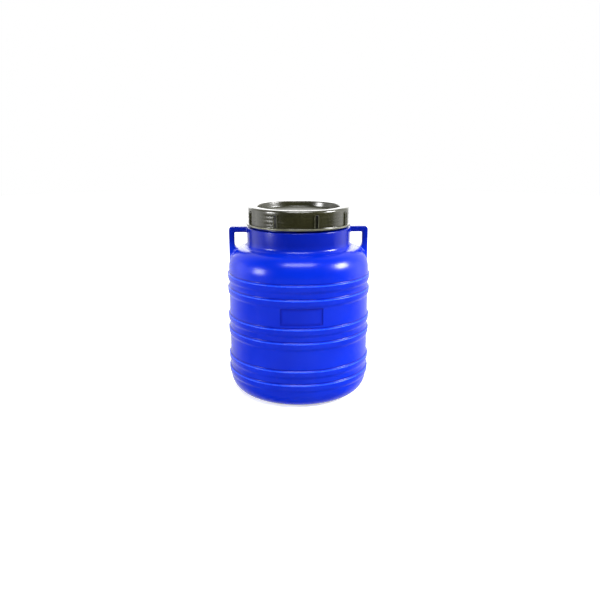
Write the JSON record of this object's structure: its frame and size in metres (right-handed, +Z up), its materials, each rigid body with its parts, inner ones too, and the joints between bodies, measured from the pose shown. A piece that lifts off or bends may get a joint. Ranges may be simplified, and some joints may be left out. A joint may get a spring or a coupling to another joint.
{
  "type": "plastic drum with screw lid",
  "caption": "Wide-neck blue plastic drum with ring bands, moulded ear handles, a threaded neck, an inner lid, a gasket and a lugged olive screw lid.",
  "frame": {"origin": "middle of the base, on the surface the drum stands on", "axes": "+Z up through the neck, -Y towards the bare front panel, X through the two ear handles"},
  "size_m": [0.368, 0.368, 0.4824],
  "materials": {
    "shell_plastic": "dyed royal blue polyethylene, soft gloss",
    "inner_lid_plastic": "undyed natural polyethylene",
    "gasket_rubber": "dark grey soft rubber",
    "lid_plastic": "dark olive moulded plastic, glossy"
  },
  "bodies": {
    "drum": {"drum_shell": "shell_plastic"},
    "seal": {"inner_lid": "inner_lid_plastic", "lid_gasket": "gasket_rubber"},
    "cap": {"screw_lid": "lid_plastic"}
  },
  "joints": [
    {"name": "lid_rise", "type": "slide", "parent": "drum", "child": "seal", "axis": [0, 0, 1], "range_m": [0, 0.048]},
    {"name": "lid_turn", "type": "hinge", "parent": "seal", "child": "cap", "pos_m": [0, 0, 0.4355], "axis": [0, 0, 1], "range_deg": [0, 1440]}
  ],
  "couplings": [
    {"joint": "lid_rise", "follows": "lid_turn", "m_per_rad": 0.0019099}
  ]
}
